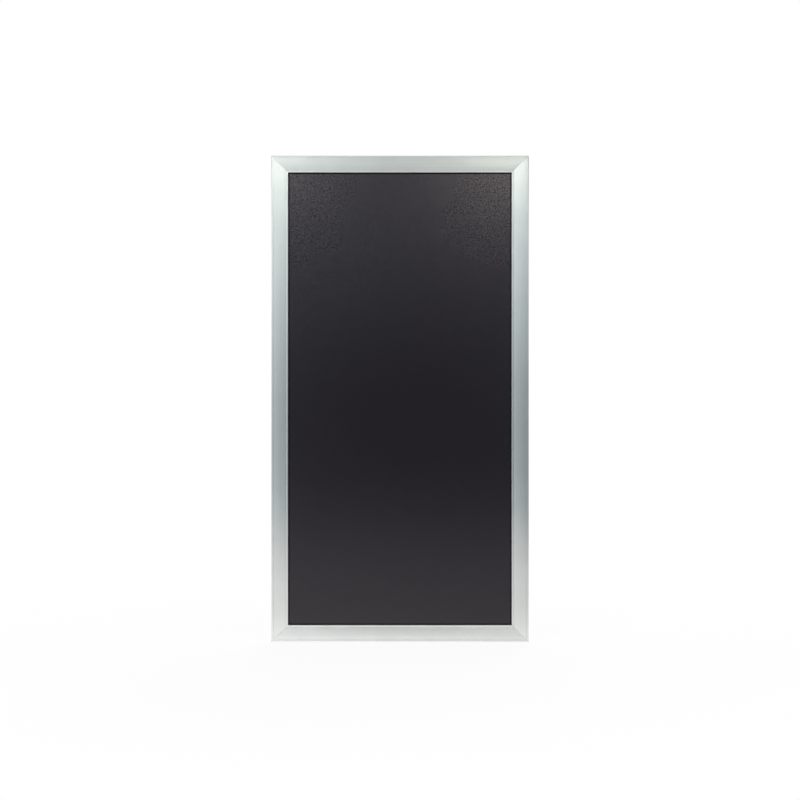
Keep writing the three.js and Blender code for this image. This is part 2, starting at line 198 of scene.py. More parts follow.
axes = node(tree, "ShaderNodeSeparateXYZ", Vector=place)
window_side = node(
    tree,
    "ShaderNodeMapRange",
    Value=axes.outputs["X"],
    From_Min=-WINDOW_SIDE_REACH,
    From_Max=WINDOW_SIDE_REACH,
    To_Min=WINDOW_SIDE_LIGHT,
    To_Max=FAR_SIDE_LIGHT,
)
near_foot = node(
    tree,
    "ShaderNodeMapRange",
    {"interpolation_type": "SMOOTHSTEP"},
    Value=axes.outputs["Y"],
    From_Min=FOOT_START,
    From_Max=FOOT_END,
    To_Min=0.0,
    To_Max=FOOT_LIGHT,
)
brighter = node(
    tree,
    "ShaderNodeMath",
    {"operation": "ADD"},
    i0=window_side.outputs[0],
    i1=near_foot.outputs[0],
)
floor_light = node(
    tree,
    "ShaderNodeMath",
    {"operation": "MULTIPLY_ADD"},
    i0=mirrored.outputs[0],
    i1=brighter.outputs[0],
    i2=1.0,
)
glow = node(tree, "ShaderNodeEmission", Color=linear("#FFFFFF"), Strength=floor_light.outputs[0])
mixed = node(tree, "ShaderNodeMixShader", i0=share.outputs[0], i1=painted.outputs[0], i2=glow.outputs[0])
node(tree, "ShaderNodeOutputMaterial", Surface=mixed.outputs[0])
floor.data.materials.append(floor_paint)


# Soft boxes
# Two lamps high in front of the board and a fill behind it light it evenly, and glossy surfaces don't show
# them. A row holds a lamp's name, where it stands, what it faces, its width and height, and its watts.
SOFT_BOXES = (
    ("soft_box_left", (-1.5, -3.0, 2.0), (0, 0, 0.1), 1.6, 1.4, 36),
    ("soft_box_right", (1.5, -3.0, 2.0), (0, 0, 0.1), 1.6, 1.4, 36),
    ("rear_fill", (0.4, 2.6, 1.6), (0, 0, 0), 1.6, 1.6, 60),
)


def lamp_at(name, stand, aim, shape, size, watts):
    """Stands a lamp with an even face in its place and turns it to face a point."""
    bpy.ops.object.light_add(type="AREA", location=stand)
    lamp = bpy.context.object
    lamp.name = name
    lamp.data.shape = shape
    lamp.data.size = size
    lamp.data.energy = watts
    lamp.rotation_euler = (Vector(aim) - lamp.location).to_track_quat("-Z", "Y").to_euler()
    return lamp


for name, stand, aim, width, height, watts in SOFT_BOXES:
    soft_box = lamp_at(name, stand, aim, "RECTANGLE", width, watts)
    soft_box.data.size_y = height
    soft_box.visible_glossy = False


# Studio walls
# Grey walls all round that glow with painted light, brighter from the left, the window side, which only
# glossy surfaces show. The room's two ends, before and behind the board, are painted dark, as if open,
# and the flat panel mirrors the one before it.
WALL_DISTANCE = 2.4
WALL_TOP = 2.6
WALL_FOOT = -0.45
WALL_SIDES = 96
WALL_TINT = "#E9F9FF"
LIT_WALL_TINT = "#FFFEFA"
TINT_START = 0.9  # the light at which the wall's tint begins to change
TINT_END = 1.8
OVERHEAD_REACH = 0.4
OVERHEAD_ON_LEFT = 1.35
OVERHEAD_ON_RIGHT = 0.65
DARK_MIDDLE = -0.055
DARK_HALF_WIDTH = 0.25
DARK_FADED = 0.72
DARKNESS = 0.97

# Changes over the walls' painted light, each with the axis that it follows, where it starts and ends, and
# its two values. The light falls to the right, grows upwards and falls again overhead, most so on the left.
# The dark ends narrow on their right and fade as they rise, and their foot is painted lighter, as if the
# floor lit it.
WALL_CHANGES = (
    ("sideways", "X", -0.4, 0.4, 1.1, 0.29),
    ("upwards", "Z", -0.1, 0.42, 0.0, 0.32),
    ("overhead", "Z", 0.45, 0.85, 0.0, -0.52),
    ("dark_narrows", "Z", -0.05, 0.35, 1.0, 1.28),
    ("dark_fades", "Z", -0.05, 1.03, 1.0, 0.0),
    ("dark_foot", "Z", -0.45, -0.2, 0.75, 1.0),
)

bpy.ops.object.select_all(action="DESELECT")
bpy.ops.mesh.primitive_cylinder_add(
    vertices=WALL_SIDES,
    radius=WALL_DISTANCE,
    depth=WALL_TOP - WALL_FOOT,
    end_fill_type="NOTHING",
    location=(0, 0, (WALL_TOP + WALL_FOOT) / 2),
)
walls = bpy.context.object
walls.name = "studio_walls"
bpy.ops.object.transform_apply()
wall_paint, tree, place = bare_finish("studio_walls_painted_light")
axes = node(tree, "ShaderNodeSeparateXYZ", Vector=place)
change = {}
for name, axis, start, end, first, last in WALL_CHANGES:
    change[name] = node(
        tree,
        "ShaderNodeMapRange",
        {"interpolation_type": "SMOOTHSTEP"},
        Value=axes.outputs[axis],
        From_Min=start,
        From_Max=end,
        To_Min=first,
        To_Max=last,
    ).outputs[0]

more_on_left = node(
    tree,
    "ShaderNodeMapRange",
    Value=axes.outputs["X"],
    From_Min=-OVERHEAD_REACH,
    From_Max=OVERHEAD_REACH,
    To_Min=OVERHEAD_ON_LEFT,
    To_Max=OVERHEAD_ON_RIGHT,
)
overhead = node(
    tree,
    "ShaderNodeMath",
    {"operation": "MULTIPLY"},
    i0=change["overhead"],
    i1=more_on_left.outputs[0],
)
grey = node(tree, "ShaderNodeMath", {"operation": "ADD"}, i0=change["sideways"], i1=change["upwards"])
grey = node(tree, "ShaderNodeMath", {"operation": "ADD"}, i0=grey.outputs[0], i1=overhead.outputs[0])

from_middle = node(tree, "ShaderNodeMath", {"operation": "SUBTRACT"}, i0=axes.outputs["X"], i1=DARK_MIDDLE)
to_right = node(
    tree,
    "ShaderNodeMath",
    {"operation": "MULTIPLY"},
    i0=from_middle.outputs[0],
    i1=change["dark_narrows"],
)
to_left = node(tree, "ShaderNodeMath", {"operation": "MULTIPLY"}, i0=from_middle.outputs[0], i1=-1.0)
aside = node(tree, "ShaderNodeMath", {"operation": "MAXIMUM"}, i0=to_right.outputs[0], i1=to_left.outputs[0])
dark = node(
    tree,
    "ShaderNodeMapRange",
    {"interpolation_type": "SMOOTHSTEP"},
    Value=aside.outputs[0],
    From_Min=DARK_HALF_WIDTH,
    From_Max=DARK_FADED,
    To_Min=DARKNESS,
    To_Max=0.0,
)
dark = node(tree, "ShaderNodeMath", {"operation": "MULTIPLY"}, i0=dark.outputs[0], i1=change["dark_fades"])
dark = node(tree, "ShaderNodeMath", {"operation": "MULTIPLY"}, i0=dark.outputs[0], i1=change["dark_foot"])
lit = node(tree, "ShaderNodeMath", {"operation": "SUBTRACT"}, i0=1.0, i1=dark.outputs[0])
grey = node(tree, "ShaderNodeMath", {"operation": "MULTIPLY"}, i0=grey.outputs[0], i1=lit.outputs[0])

tint = node(tree, "ShaderNodeMapRange", Value=grey.outputs[0], From_Min=TINT_START, From_Max=TINT_END)
paint = node(
    tree,
    "ShaderNodeMix",
    {"data_type": "RGBA"},
    Factor=tint.outputs[0],
    i6=linear(WALL_TINT),
    i7=linear(LIT_WALL_TINT),
)
even = node(tree, "ShaderNodeEmission", Color=paint.outputs[2], Strength=grey.outputs[0])
node(tree, "ShaderNodeOutputMaterial", Surface=even.outputs[0])
walls.data.materials.append(wall_paint)
walls.visible_camera = False
walls.visible_diffuse = False
walls.visible_shadow = False
walls.visible_transmission = False


# Lit screens
# A lit round screen stands high on each side of the end before the board. Only glossy surfaces show them,
# as the glow in the panel's upper corners. A row holds a screen's name, place across, height and watts.
SCREEN_DISTANCE = 2.3
SCREEN_SIZE = 0.52
SCREEN_TINT = "#FFFEF4"
SCREENS = (
    ("screen_left", -0.505, 0.78, 2.8),
    ("screen_right", 0.41, 0.77, 2.75),
)

for name, across, height, watts in SCREENS:
    screen = lamp_at(name, (across, -SCREEN_DISTANCE, height), (0, 0, 0), "DISK", SCREEN_SIZE, watts)
    screen.data.color = linear(SCREEN_TINT)[:3]
    screen.visible_camera = False
    screen.visible_diffuse = False
    screen.visible_transmission = False


# Frame
# Four lengths of extruded aluminium, cut at 45 degrees and keyed together at the corners. The section has a
# rounded edge, a flat band, a fine groove, a convex face, a fine quirk, a low and nearly flat bead at the
# lip, and a hardware channel behind. The board's sizes from here on are in millimetres.
WALL = 1.6
REAR_LIP = 1.4
CHANNEL_WIDTH = 13.0
CHANNEL_DEPTH = 3.6
CHANNEL_FLOOR = 1.4
SLOT_WIDTH = 6.0
STAND_OFF = 5.0  # from the wall to the frame's rear
FACE_WIDTH = 29.5
FACE_RADIUS = 110.0
FACE_CREST = 11.0
FACE_STEPS = 28
INSIDE_STEPS = 12
BAND_WIDTH = 4.0
BAND_DROP = 0.55
GROOVE_WIDTH = 0.6
GROOVE_DEPTH = 0.5
SHOULDER_RADIUS = 2.2
SHOULDER_STEPS = 8
BEAD_WIDTH = 3.2
BEAD_DROP = 0.8
BEAD_EDGE_RADIUS = 0.45
BEAD_EDGE_TURN = 84  # degrees, where each rounded edge meets the bead's slightly crowned top
BEAD_EDGE_STEPS = 5
BEAD_CROWN = 0.12
QUIRK_WIDTH = 0.4
QUIRK_DROP = 1.6
LIP_LEG = 1.5
ROOT_SLOT_WIDTH = 2.4
ROOT_SLOT_DEPTH = 1.7
GASKET_ROOT = 1.2  # how far the gasket's root reaches into its slot
MITRE_GAP = 0.12
FRAME_EDGE = 0.12
MERGE_DISTANCE = 0.002

frame_depth = round((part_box("rail_bottom")[1].y - front_plane) / MM, 1)
gasket_depth = round((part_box("rail_bottom")[1].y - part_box("gasket_bottom")[0].y) / MM, 1)
lip_under = gasket_depth - GASKET_ROOT
leg = FACE_WIDTH - LIP_LEG
root = leg - ROOT_SLOT_WIDTH
outer_leg = root - LIP_LEG
channel_middle = WALL + CHANNEL_WIDTH / 2
face_centre = frame_depth - FACE_RADIUS


def arc(centre, radius, start, end, steps):
    """Points on an arc in the section, from one angle to another in degrees."""
    points = []
    for i in range(steps + 1):
        angle = math.radians(start + (end - start) * i / steps)
        points.append((centre[0] + radius * math.cos(angle), centre[1] + radius * math.sin(angle)))
    return points


def face_arc(radius, start, end, steps):
    """Points on an arc about the face's centre, from one place across the section to another."""
    start, end = (math.degrees(math.acos((u - FACE_CREST) / radius)) for u in (start, end))
    return arc((FACE_CREST, face_centre), radius, start, end, steps)


def trace(name, points):
    """Draws an outline point by point, as by hand. Its points are in millimetres."""
    bpy.ops.object.select_all(action="DESELECT")
    bpy.ops.mesh.primitive_plane_add(size=MM)
    piece = bpy.context.object
    piece.name = name
    bpy.ops.object.mode_set(mode="EDIT")
    bpy.ops.mesh.merge(type="CENTER")
    here = points[0]
    bpy.ops.transform.translate(value=[c * MM for c in here])
    for there in points[1:]:
        step = [(b - a) * MM for a, b in zip(here, there)]
        bpy.ops.mesh.extrude_region_move(TRANSFORM_OT_translate={"value": step})
        here = there
    return piece


def merge_points(distance):
    """Joins points that lie closer together than this many millimetres."""
    bpy.ops.mesh.select_all(action="SELECT")
    bpy.ops.mesh.remove_doubles(threshold=distance * MM)


def close_face():
    """Closes the traced outline and fills it with one face."""
    merge_points(MERGE_DISTANCE)
    bpy.ops.mesh.edge_face_add()


def face_outwards():
    bpy.ops.mesh.select_all(action="SELECT")
    bpy.ops.mesh.normals_make_consistent(inside=False)


def extrude_face(length):
    """Pulls the traced face along X into a solid."""
    bpy.ops.mesh.select_all(action="SELECT")
    bpy.ops.mesh.extrude_region_move(TRANSFORM_OT_translate={"value": (length * MM, 0, 0)})
    face_outwards()


def pick(piece):
    """Selects one piece alone and makes it the active one."""
    bpy.ops.object.select_all(action="DESELECT")
    bpy.context.view_layer.objects.active = piece
    piece.select_set(True)


def take_up(piece):
    """Picks one piece and enters edit mode."""
    pick(piece)
    bpy.ops.object.mode_set(mode="EDIT")


def shade(piece, smooth_degrees):
    """Shades smooth up to an angle, and keeps the large flat faces flat beside their rounded edges."""
    bpy.ops.object.shade_smooth_by_angle(angle=math.radians(smooth_degrees))
    weighted = piece.modifiers.new("flat_faces_stay_flat", "WEIGHTED_NORMAL")
    weighted.keep_sharp = True
    bpy.ops.object.modifier_apply(modifier=weighted.name)


def end_modelling(piece, edge_mm, smooth_degrees=30, segments=2):
    """Leaves edit mode, rounds the sharp edges and shades the rest smooth."""
    bpy.ops.object.mode_set(mode="OBJECT")
    pick(piece)
    bevel = piece.modifiers.new("edge_rounding", "BEVEL")
    bevel.width = edge_mm * MM
    bevel.segments = segments
    bevel.limit_method = "ANGLE"
    bevel.angle_limit = math.radians(smooth_degrees)
    bpy.ops.object.modifier_apply(modifier=bevel.name)
    bpy.ops.object.transform_apply()
    shade(piece, smooth_degrees)


def copy_of(piece, name):
    """A copy of a piece with its own mesh."""
    pick(piece)
    bpy.ops.object.duplicate()
    bpy.context.object.name = name
    return bpy.context.object


def put(piece, turn, move=(0, 0, 0)):
    """Turns a piece about the Y axis, then moves it, and writes its place into its mesh."""
    pick(piece)
    piece.rotation_euler = (0, math.radians(turn), 0)
    piece.location = move
    bpy.ops.object.transform_apply()


def hand_over(piece, cad_node, body, finish):
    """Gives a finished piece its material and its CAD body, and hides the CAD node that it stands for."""
    piece.data.materials.clear()
    piece.data.materials.append(finish)
    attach(piece, body)
    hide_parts(cad_node)


def frame_section():
    """The section's outline, as places across the frame from its outer edge and heights above its rear."""
    slot_start = channel_middle - SLOT_WIDTH / 2
    slot_end = channel_middle + SLOT_WIDTH / 2
    floor_back = REAR_LIP + CHANNEL_DEPTH
    floor_front = floor_back + CHANNEL_FLOOR
    channel_end = WALL + CHANNEL_WIDTH
    rib_end = channel_end + WALL
    bead_start = FACE_WIDTH - BEAD_WIDTH
    bead_top = frame_depth - BEAD_DROP
    bead_level = bead_top - BEAD_EDGE_RADIUS
    quirk = frame_depth - QUIRK_DROP
    groove_end = BAND_WIDTH + GROOVE_WIDTH
    band = frame_depth - BAND_DROP
    points = [
        (0, 0),
        (slot_start, 0),
        (slot_start, REAR_LIP),
        (WALL, REAR_LIP),
        (WALL, floor_back),
        (channel_end, floor_back),
        (channel_end, REAR_LIP),
        (slot_end, REAR_LIP),
        (slot_end, 0),
        (rib_end, 0),
        (rib_end, floor_front),
        (WALL, floor_front),
    ]
    points += face_arc(FACE_RADIUS - WALL, WALL, outer_leg, INSIDE_STEPS)
    points += [
        (outer_leg, lip_under),
        (root, lip_under),
        (root, lip_under + ROOT_SLOT_DEPTH),
        (leg, lip_under + ROOT_SLOT_DEPTH),
        (leg, lip_under),
        (FACE_WIDTH, lip_under),
    ]
    lip_edge = (FACE_WIDTH - BEAD_EDGE_RADIUS, bead_level)
    points += arc(lip_edge, BEAD_EDGE_RADIUS, 0, BEAD_EDGE_TURN, BEAD_EDGE_STEPS)
    points += [(FACE_WIDTH - BEAD_WIDTH / 2, bead_top + BEAD_CROWN)]
    quirk_edge = (bead_start + BEAD_EDGE_RADIUS, bead_level)
    points += arc(quirk_edge, BEAD_EDGE_RADIUS, 180 - BEAD_EDGE_TURN, 180, BEAD_EDGE_STEPS)
    points += [(bead_start, quirk), (bead_start - QUIRK_WIDTH, quirk)]
    points += face_arc(FACE_RADIUS, bead_start - QUIRK_WIDTH, groove_end, FACE_STEPS)
    points += [
        (groove_end, band - GROOVE_DEPTH),
        (BAND_WIDTH, band - GROOVE_DEPTH),
        (BAND_WIDTH, band),
    ]
    points += arc((SHOULDER_RADIUS, band - SHOULDER_RADIUS), SHOULDER_RADIUS, 90, 180, SHOULDER_STEPS)
    return points


def mitred_length(name, section, length, across):
    """A section run along X under the middle of the board, cut at 45 degrees at both ends."""
    start = -length / 2
    low = -across / 2
    piece = trace(name, [(start, -(v + STAND_OFF), low + u) for u, v in section])
    close_face()
    extrude_face(length)
    gap = MITRE_GAP / math.sqrt(2) * MM
    for side in (-1, 1):
        bpy.ops.mesh.select_all(action="SELECT")
        bpy.ops.mesh.bisect(
            plane_co=(side * (length / 2 * MM - gap), 0, low * MM),
            plane_no=(side, 0, 1),
            use_fill=True,
            clear_outer=True,
        )
    face_outwards()
    return piece


# Satin anodised aluminium: pressed through a die, so its lines run lengthwise, then etched and anodised,
# which leaves a soft grey metal with a faint cool cast, slightly cloudy, with no sharp mirror image. Real
# die lines lie 0.1 to 0.3 mm apart and the etched grain is finer still, so both are drawn coarser to show.
DIE_LINE_WIDTH = 1.1
DIE_LINE_LENGTH = 250.0
ANODISING_CLOUD = 35.0
ETCHED_GRAIN = 0.6


def lines_along(width, length, upright):
    """The scale of a pattern of lines, given their size in millimetres, that run upright or else across."""
    fine = 1 / (width * MM)
    long = 1 / (length * MM)
    return (fine, fine, long) if upright else (long, fine, fine)


def anodised_aluminium(name, upright):
    metal, tree, place = bare_finish(name)
    lengthwise = node(
        tree,
        "ShaderNodeMapping",
        Vector=place,
        Scale=lines_along(DIE_LINE_WIDTH, DIE_LINE_LENGTH, upright),
    )
    die_lines = node(
        tree,
        "ShaderNodeTexNoise",
        Vector=lengthwise.outputs[0],
        Scale=1.0,
        Detail=3.0,
        Roughness=0.6,
    )
    clouds = node(
        tree,
        "ShaderNodeTexNoise",
        Vector=place,
        Scale=1 / (ANODISING_CLOUD * MM),
        Detail=3.0,
        Roughness=0.55,
    )
    grain = node(tree, "ShaderNodeTexNoise", Vector=place, Scale=1 / (ETCHED_GRAIN * MM), Detail=2.0)
    etched = node(tree, "ShaderNodeMapRange", Value=die_lines.outputs[0], To_Min=-0.1, To_Max=1.1)
    etched = node(
        tree,
        "ShaderNodeMath",
        {"operation": "MULTIPLY"},
        i0=etched.outputs[0],
        i1=clouds.outputs[0],
    )
    colour = node(
        tree,
        "ShaderNodeMix",
        {"data_type": "RGBA"},
        Factor=etched.outputs[0],
        i6=linear("#DBDCDA"),
        i7=linear("#F0F1EF"),
    )
    roughness = node(tree, "ShaderNodeMapRange", Value=die_lines.outputs[0], To_Min=0.28, To_Max=0.42)
    relief = node(tree, "ShaderNodeBump", Strength=0.25, Distance=0.05 * MM, Height=die_lines.outputs[0])
    relief = node(
        tree,
        "ShaderNodeBump",
        Strength=0.06,
        Distance=0.03 * MM,
        Height=grain.outputs[0],
        Normal=relief.outputs[0],
    )
    across = node(tree, "ShaderNodeTangent", {"direction_type": "UV_MAP", "uv_map": "UVMap"})
    surface = node(
        tree,
        "ShaderNodeBsdfPrincipled",
        Base_Color=colour.outputs[2],
        Metallic=1.0,
        Roughness=roughness.outputs[0],
        Anisotropic=1.0 if upright else 0.8,
        Anisotropic_Rotation=0.0 if upright else 0.25,
        Tangent=across.outputs[0],
        Normal=relief.outputs[0],
    )
    node(tree, "ShaderNodeOutputMaterial", Surface=surface.outputs[0])
    return metal


anodised_across = anodised_aluminium("satin_anodised_aluminium_across", upright=False)
anodised_upright = anodised_aluminium("satin_anodised_aluminium_upright", upright=True)

width_mm = board_width / MM
height_mm = board_height / MM
section = frame_section()

# Each side's node, its name, its length, the board's size across it, and how far it turns about Y.
SIDES = (
    ("rail_bottom", "bottom", width_mm, height_mm, 0),
    ("stile_left", "left", height_mm, width_mm, 90),
    ("rail_top", "top", width_mm, height_mm, 180),
    ("stile_right", "right", height_mm, width_mm, 270),
)

for cad_node, _, length, across, turn in SIDES:
    rail = mitred_length(cad_node + "_extrusion", section, length, across)
    end_modelling(rail, FRAME_EDGE)
    put(rail, turn)
    take_up(rail)
    bpy.ops.mesh.select_all(action="SELECT")
    bpy.ops.uv.cube_project(cube_size=1.0, correct_aspect=False)
    bpy.ops.object.mode_set(mode="OBJECT")
    finish = anodised_across if turn % 180 == 0 else anodised_upright
    hand_over(rail, cad_node, "board", finish)


# Corner hardware
# Two L plates of zinc-plated steel lie in the channel at each corner. Set screws in the rear plate push the
# front one against the channel's floor, which draws the mitre together and keeps the corner square.
SET_SCREW_SIDES = 32
SET_SCREW_CHAMFER = 0.25
DRIVE_SLOT_WIDTH = 0.8
DRIVE_SLOT_DEPTH = 0.9
DRIVE_SLOT_OVERRUN = 1.0
CORNERS = (("bottom_left", 0), ("top_left", 90), ("top_right", 180), ("bottom_right", 270))

# Bright zinc plate on pressed steel: a pale, slightly blue metal skin with a satin shine, small rub marks
# from the tumbling drum and a soft crystalline mottle, which is drawn coarser than it is so that it shows.
ZINC_MOTTLE = 1.6
RUB_MARK = 4.0

zinc, tree, place = bare_finish("bright_zinc_plated_steel")
spangle = node(tree, "ShaderNodeTexVoronoi", {"feature": "F1"}, Vector=place, Scale=1 / (ZINC_MOTTLE * MM))
rubs = node(tree, "ShaderNodeTexNoise", Vector=place, Scale=1 / (RUB_MARK * MM), Detail=5.0, Roughness=0.65)
mottle = node(tree, "ShaderNodeMath", {"operation": "MULTIPLY"}, i0=spangle.outputs[0], i1=rubs.outputs[0])
colour = node(
    tree,
    "ShaderNodeMix",
    {"data_type": "RGBA"},
    Factor=mottle.outputs[0],
    i6=linear("#C6CCCE"),
    i7=linear("#9AA1A4"),
)
roughness = node(tree, "ShaderNodeMapRange", Value=rubs.outputs[0], To_Min=0.24, To_Max=0.42)
relief = node(tree, "ShaderNodeBump", Strength=0.2, Distance=0.02 * MM, Height=rubs.outputs[0])
surface = node(
    tree,
    "ShaderNodeBsdfPrincipled",
    Base_Color=colour.outputs[2],
    Metallic=1.0,
    Roughness=roughness.outputs[0],
    Normal=relief.outputs[0],
)
node(tree, "ShaderNodeOutputMaterial", Surface=surface.outputs[0])


def refinish(cad_node, finish):
    """Gives a CAD node, whose shape is right, its finish."""
    for slot in frame["nodes"][cad_node].material_slots:
        slot.material = finish


def middle_of(cad_node):
    low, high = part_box(cad_node)
    return (low + high) / 2


def cut_away(piece, cutter):
    """Cuts one piece out of another, and takes the cutter away."""
    cut = piece.modifiers.new("cut", "BOOLEAN")
    cut.operation = "DIFFERENCE"
    cut.solver = "EXACT"
    cut.object = cutter
    pick(piece)
    bpy.ops.object.modifier_apply(modifier=cut.name)
    bpy.data.objects.remove(cutter)


def slot_cutter(screw_radius, rear):
    """A block along X that reaches from a screw's rear end, in Y, down to the bottom of its drive slot."""
    bpy.ops.object.select_all(action="DESELECT")
    bpy.ops.mesh.primitive_cube_add(size=MM, location=(0, rear * MM, 0))
    block = bpy.context.object
    block.scale = (2 * (screw_radius + DRIVE_SLOT_OVERRUN), 2 * DRIVE_SLOT_DEPTH, DRIVE_SLOT_WIDTH)
    bpy.ops.object.transform_apply()
    return block


for corner, _ in CORNERS:
    refinish("corner_key_" + corner, zinc)
    refinish("corner_press_plate_" + corner, zinc)

low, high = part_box("corner_screw_bottom_left_1")
screw_radius = (high.x - low.x) / 2 / MM
screw_length = (high.y - low.y) / MM
bpy.ops.object.select_all(action="DESELECT")
bpy.ops.mesh.primitive_cylinder_add(
    vertices=SET_SCREW_SIDES,
    radius=screw_radius * MM,
    depth=screw_length * MM,
    rotation=(math.radians(90), 0, 0),
)
set_screw = bpy.context.object
set_screw.name = "set_screw"
bpy.ops.object.transform_apply()
end_modelling(set_screw, SET_SCREW_CHAMFER, smooth_degrees=40, segments=1)
cut_away(set_screw, slot_cutter(screw_radius, screw_length / 2))
shade(set_screw, smooth_degrees=30)

for corner, turn in CORNERS:
    for number in ("1", "2"):
        cad_node = "corner_screw_" + corner + "_" + number
        screw = copy_of(set_screw, "set_screw_" + corner + "_" + number)
        put(screw, turn, middle_of(cad_node))
        hand_over(screw, cad_node, "board", zinc)
bpy.data.objects.remove(set_screw)


# Gasket
# A black rubber strip pressed into the slot under the lip. Only its edge shows, as a dark line inside the
# bead, and the writing sheet is pressed against it from behind.
GASKET_PAD = 1.0
GASKET_SHOW = 2.2  # how far it reaches past the lip
GASKET_FIT = 0.3
GASKET_EDGE = 0.08
GASKET_EDGE_STEPS = 8
SEAT = 0.1  # left free where one piece seats on another

# Black rubber, extruded or moulded: soft, slightly greasy black with a broad dull highlight and fine dust
# on it. The dust is drawn as specks coarser than real ones, so that it shows.
DUST_SPECK = 1.5


def black_rubber(name, black, dust, shine):
    rubber, tree, place = bare_finish(name)
    specks = node(
        tree,
        "ShaderNodeTexNoise",
        Vector=place,
        Scale=1 / (DUST_SPECK * MM),
        Detail=4.0,
        Roughness=0.7,
    )
    colour = node(
        tree,
        "ShaderNodeMix",
        {"data_type": "RGBA"},
        Factor=specks.outputs[0],
        i6=linear(black),
        i7=linear(dust),
    )
    relief = node(tree, "ShaderNodeBump", Strength=0.3, Distance=0.04 * MM, Height=specks.outputs[0])
    surface = node(
        tree,
        "ShaderNodeBsdfPrincipled",
        Base_Color=colour.outputs[2],
        Roughness=0.62,
        IOR=1.5,
        Specular_IOR_Level=shine,
        Normal=relief.outputs[0],
    )
    node(tree, "ShaderNodeOutputMaterial", Surface=surface.outputs[0])
    return rubber


# The gasket's black is very dark and its shine low: partly the rubber's own, partly painted shade of the
# deep gap under the lip.
gasket_rubber = black_rubber("black_gasket_rubber", "#0A0A0C", "#101012", shine=0.15)

# The strip's outline, in the same measures as the frame's section.
pad_back = lip_under - SEAT - GASKET_PAD
pad_front = lip_under - SEAT
half_pad = GASKET_PAD / 2
round_middle = (FACE_WIDTH + GASKET_SHOW - half_pad, pad_back + half_pad)
strip_section = [
    (outer_leg, pad_back),
    *arc(round_middle, half_pad, -90, 90, GASKET_EDGE_STEPS),
    (leg - GASKET_FIT, pad_front),
    (leg - GASKET_FIT, lip_under + GASKET_ROOT),
    (root + GASKET_FIT, lip_under + GASKET_ROOT),
    (root + GASKET_FIT, pad_front),
    (outer_leg, pad_front),
]

for _, side, length, across, turn in SIDES:
    strip = mitred_length("gasket_strip_" + side, strip_section, length, across)
    end_modelling(strip, GASKET_EDGE)
    put(strip, turn)
    hand_over(strip, "gasket_" + side, "board", gasket_rubber)


# Writing sheet
# The face that is written on: a thin sheet with a matt black chalk lacquer, rolled or sprayed on, whose fine
# tooth takes the chalk. It is glued to the core behind it, and its edges hide behind the gasket.
SHEET_EDGE = 0.15

# Matt black chalk lacquer: purplish black, and its tooth breaks the light into a soft, faintly warm, grainy
# sheen. The specks carry a painted sheen, in their shine and in the colour, painted strongest towards the
# upper corners and weaker in the middle and lower down. The tooth and its specks, really fractions of a
# millimetre, are drawn coarser so that they show.
TOOTH = 2.2
SPECK = 2.4
HAZE = 120.0
SHEEN_SPECKS_ASIDE = 0.19  # metres from the middle line, past which the painted speck sheen stops growing sideways
SHEEN_SPECKS_START = 0.02  # metres above the middle, from where to where the painted speck sheen gets stronger
SHEEN_SPECKS_END = 0.32
STRONGEST_SHEEN_SPECKS = 0.19
LEAST_SHEEN_SPECKS = 0.06
MIDDLE_SHINE = 0.5
DULLER = -0.7
BRIGHTER = 1.3

lacquer, tree, place = bare_finish("matt_black_chalk_lacquer")
tooth = node(tree, "ShaderNodeTexNoise", Vector=place, Scale=1 / (TOOTH * MM), Detail=4.0, Roughness=0.7)
specks = node(tree, "ShaderNodeTexNoise", Vector=place, Scale=1 / (SPECK * MM), Detail=2.0, Roughness=0.6)
axes = node(tree, "ShaderNodeSeparateXYZ", Vector=place)
aside = node(tree, "ShaderNodeMath", {"operation": "ABSOLUTE"}, i0=axes.outputs["X"])
edgeward = node(
    tree,
    "ShaderNodeMapRange",
    {"interpolation_type": "SMOOTHSTEP"},
    Value=aside.outputs[0],
    From_Min=0.0,
    From_Max=SHEEN_SPECKS_ASIDE,
    To_Min=0.5,
    To_Max=1.0,
)
upward = node(
    tree,
    "ShaderNodeMapRange",
    {"interpolation_type": "SMOOTHSTEP"},
    Value=axes.outputs["Z"],
    From_Min=SHEEN_SPECKS_START,
    From_Max=SHEEN_SPECKS_END,
    To_Min=0.0,
    To_Max=STRONGEST_SHEEN_SPECKS,
)
painted_sheen_specks = node(
    tree,
    "ShaderNodeMath",
    {"operation": "MULTIPLY_ADD"},
    i0=edgeward.outputs[0],
    i1=upward.outputs[0],
    i2=LEAST_SHEEN_SPECKS,
)
dullest = node(
    tree,
    "ShaderNodeMath",
    {"operation": "MULTIPLY_ADD"},
    i0=painted_sheen_specks.outputs[0],
    i1=DULLER,
    i2=MIDDLE_SHINE,
)
brightest = node(
    tree,
    "ShaderNodeMath",
    {"operation": "MULTIPLY_ADD"},
    i0=painted_sheen_specks.outputs[0],
    i1=BRIGHTER,
    i2=MIDDLE_SHINE,
)
shine = node(
    tree,
    "ShaderNodeMapRange",
    Value=specks.outputs[0],
    From_Min=0.42,
    From_Max=0.66,
    To_Min=dullest.outputs[0],
    To_Max=brightest.outputs[0],
)
haze = node(tree, "ShaderNodeTexNoise", Vector=place, Scale=1 / (HAZE * MM), Detail=5.0, Roughness=0.6)
colour = node(
    tree,
    "ShaderNodeMix",
    {"data_type": "RGBA"},
    Factor=haze.outputs[0],
    i6=linear("#19171F"),
    i7=linear("#1E1B23"),
)
